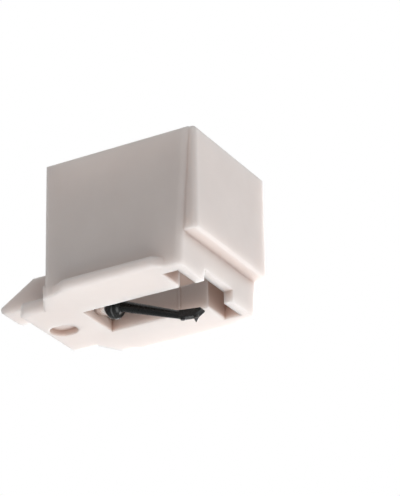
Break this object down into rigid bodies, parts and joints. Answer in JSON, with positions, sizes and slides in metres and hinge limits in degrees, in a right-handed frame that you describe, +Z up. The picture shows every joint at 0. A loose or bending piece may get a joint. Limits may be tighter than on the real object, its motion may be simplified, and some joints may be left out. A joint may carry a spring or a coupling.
{
  "type": "turntable stylus",
  "caption": "Box-shaped clip-on replacement stylus: pale moulded housing open at the top, bent black cantilever with a diamond tip under its slotted floor.",
  "frame": {"origin": "in the middle of the box's open top, level with its rim, where the cartridge body goes in", "axes": "+X across, -Y towards the end with the tip, +Z up from the record to the headshell, out of the housing's open top"},
  "size_m": [0.012, 0.0191, 0.0127],
  "materials": {
    "housing": "translucent pale grey moulded plastic",
    "clamp": "pale grey moulded plastic",
    "sleeve": "drawn metal tube",
    "damper": "soft black rubber",
    "arm": "glossy black fibre-filled plastic",
    "magnet": "plated sintered magnet",
    "shank": "polished metal",
    "diamond": "polished diamond"
  },
  "bodies": {
    "housing": {"housing": "housing", "clamp": "clamp", "sleeve": "sleeve"},
    "pivot": {"damper": "damper"},
    "arm": {"cantilever": "arm", "magnet": "magnet", "shank": "shank", "diamond": "diamond"}
  },
  "joints": [
    {"name": "arm_lift", "type": "hinge", "parent": "housing", "child": "pivot", "pos_m": [0, 0.00378, -0.00945], "axis": [-1, 0, 0], "range_deg": [-2, 5], "stiffness_Nm_per_rad": 0.0066},
    {"name": "arm_swing", "type": "hinge", "parent": "pivot", "child": "arm", "pos_m": [0, 0.00378, -0.00945], "axis": [0, 0, 1], "range_deg": [-3, 3], "stiffness_Nm_per_rad": 0.0066}
  ]
}
